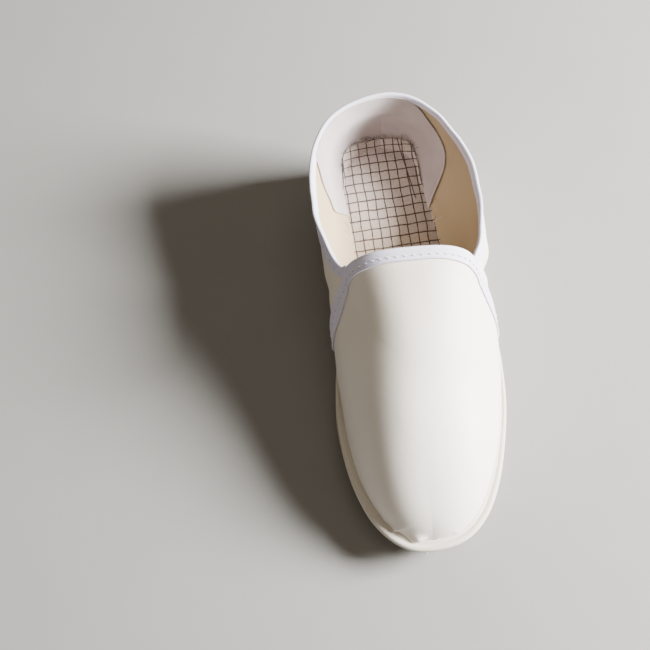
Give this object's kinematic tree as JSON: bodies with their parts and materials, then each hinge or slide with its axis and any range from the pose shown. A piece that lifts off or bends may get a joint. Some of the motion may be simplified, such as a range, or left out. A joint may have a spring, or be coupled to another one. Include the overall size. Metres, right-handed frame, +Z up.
{
  "type": "antistatic work shoe",
  "caption": "White slip-on antistatic work shoe for the left foot, with taped throat and collar, gridded cloth insole and cream moulded sole",
  "frame": {"origin": "on the floor under the middle of the shoe's box", "axes": "+Z up, +Y from toe to heel, +X towards the outer side of the left foot"},
  "size_m": [0.0966, 0.24, 0.0912],
  "materials": {
    "foam": "matte cream polyurethane",
    "leather": "smooth satin, very fine grain",
    "grid_cloth": "woven cloth with a dark grid",
    "felt": "soft napped lining",
    "tape": "plain woven tape"
  },
  "bodies": {
    "root": {"sole": "foam", "upper": "leather", "insole": "grid_cloth", "heel_lining": "felt", "throat_tape": "tape", "collar_tape": "tape"}
  },
  "joints": []
}
